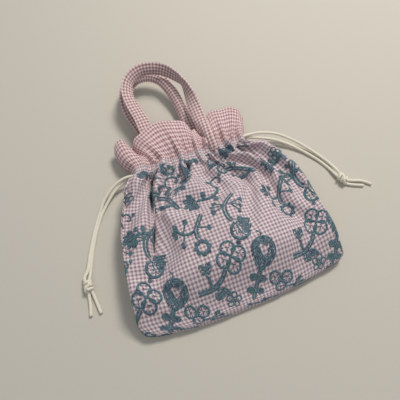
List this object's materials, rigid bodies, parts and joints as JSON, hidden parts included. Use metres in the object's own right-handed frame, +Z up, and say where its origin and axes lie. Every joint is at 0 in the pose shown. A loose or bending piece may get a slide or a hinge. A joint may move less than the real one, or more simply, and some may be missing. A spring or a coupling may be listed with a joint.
{
  "type": "drawstring pouch",
  "caption": "Small gathered cloth pouch with a ruffled drawstring mouth, loop handles and knotted pull cords, for carrying small things.",
  "frame": {"origin": "middle of the pouch and handles seen from above, on the surface the pouch lies on", "axes": "+Z up from the surface, +Y from the bottom of the pouch to its mouth and handles, +X to the right"},
  "size_m": [0.2838, 0.246, 0.0338],
  "materials": {
    "embroidered_cloth": "fine pink and white gingham cotton with blue-grey thread embroidery",
    "gingham_cloth": "fine pink and white gingham cotton",
    "strap_cloth": "folded and topstitched gingham cotton",
    "cord": "matt off-white braided cotton cord"
  },
  "bodies": {
    "root": {"front_panel": "embroidered_cloth", "back_panel": "embroidered_cloth", "collar_front": "gingham_cloth", "collar_back": "gingham_cloth", "handle_front": "strap_cloth", "handle_back": "strap_cloth", "left_cord": "cord", "left_knot": "cord", "right_cord": "cord", "right_knot": "cord"}
  },
  "joints": []
}
